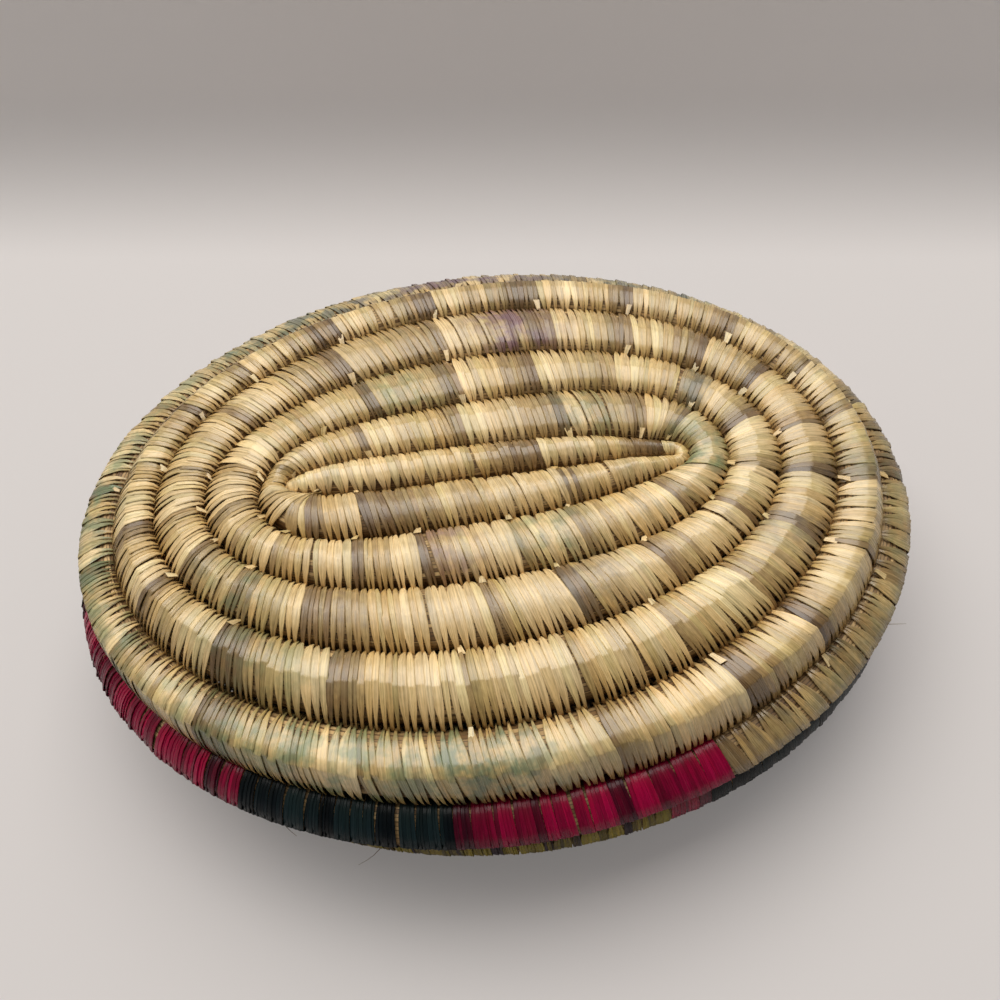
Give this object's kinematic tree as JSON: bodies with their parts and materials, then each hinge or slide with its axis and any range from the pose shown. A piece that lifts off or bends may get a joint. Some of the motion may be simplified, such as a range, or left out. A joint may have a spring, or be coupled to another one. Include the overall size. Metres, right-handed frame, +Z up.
{
  "type": "lidded coiled basket",
  "caption": "Oval lidded basket of coiled grass bound with leaf strip: a shallow bowl under a lift-off lid with a crown of natural rounds and a dyed skirt.",
  "frame": {"origin": "on the floor, under the middle of the basket's outline", "axes": "+X along the long axis of the oval, +Z up, the front of the picture towards -Y"},
  "size_m": [0.246, 0.1976, 0.0652],
  "materials": {
    "natural_strip": "undyed palm leaf strip, straw and taupe, satin",
    "magenta_strip": "leaf strip dyed magenta, silky",
    "navy_strip": "leaf strip dyed blue-black, silky",
    "yellow_strip": "leaf strip dyed yellow-green with dark ticks, satin",
    "grass_bundle": "bundle of dry grass stems, matt"
  },
  "bodies": {
    "body": {"body_bundle": "grass_bundle", "body_binding_base": "natural_strip", "body_binding_wall_lower": "natural_strip", "body_binding_wall_upper": "natural_strip", "body_binding_rim": "natural_strip"},
    "lid": {"lid_bundle": "grass_bundle", "lid_binding_crown": "natural_strip", "lid_binding_shoulder": "natural_strip", "lid_binding_magenta_1": "magenta_strip", "lid_binding_navy_1": "navy_strip", "lid_binding_magenta_2": "magenta_strip", "lid_binding_navy_2": "navy_strip", "lid_binding_magenta_3": "magenta_strip", "lid_binding_navy_3": "navy_strip", "lid_binding_magenta_4": "magenta_strip", "lid_binding_navy_4": "navy_strip", "lid_binding_magenta_5": "magenta_strip", "lid_binding_yellow": "yellow_strip"}
  },
  "joints": [
    {"name": "lid_lift", "type": "slide", "parent": "body", "child": "lid", "axis": [0, 0, 1], "range_m": [0, 0.12]}
  ]
}
